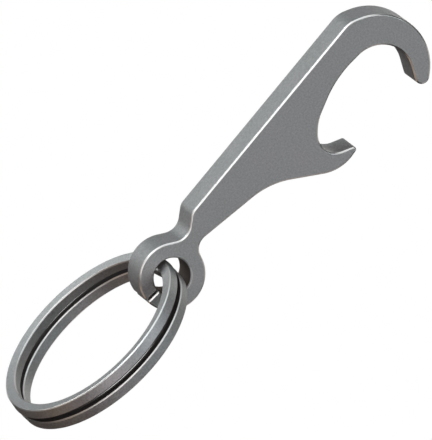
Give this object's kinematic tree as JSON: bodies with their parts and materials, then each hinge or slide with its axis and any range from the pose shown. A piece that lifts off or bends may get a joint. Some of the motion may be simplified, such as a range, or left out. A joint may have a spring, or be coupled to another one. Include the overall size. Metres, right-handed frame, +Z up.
{
  "type": "keychain bottle opener",
  "caption": "Pocket bottle opener cut from one thick titanium plate, with a hooked mouth, a slim handle and a slit eye that carries a square-wire split ring.",
  "frame": {"origin": "centre of the eye's hole, at half the plate's thickness", "axes": "+Z up the handle from the eye to the hook, +X out of the mouth, -Y the front face; the ring hangs below the eye"},
  "size_m": [0.0195, 0.0352, 0.0912],
  "materials": {
    "blasted_titanium": "bead-blasted titanium, matte, with fine sparkling grain and bright cut chamfers",
    "ring_titanium": "tumbled titanium wire, satin, drawn along its length"
  },
  "bodies": {
    "opener": {"opener_plate": "blasted_titanium"},
    "ring": {"split_ring": "ring_titanium"}
  },
  "joints": [
    {"name": "ring_swing", "type": "hinge", "parent": "opener", "child": "ring", "pos_m": [0, 0, 0], "axis": [0, 1, 0], "range_deg": [-162, 160]}
  ]
}
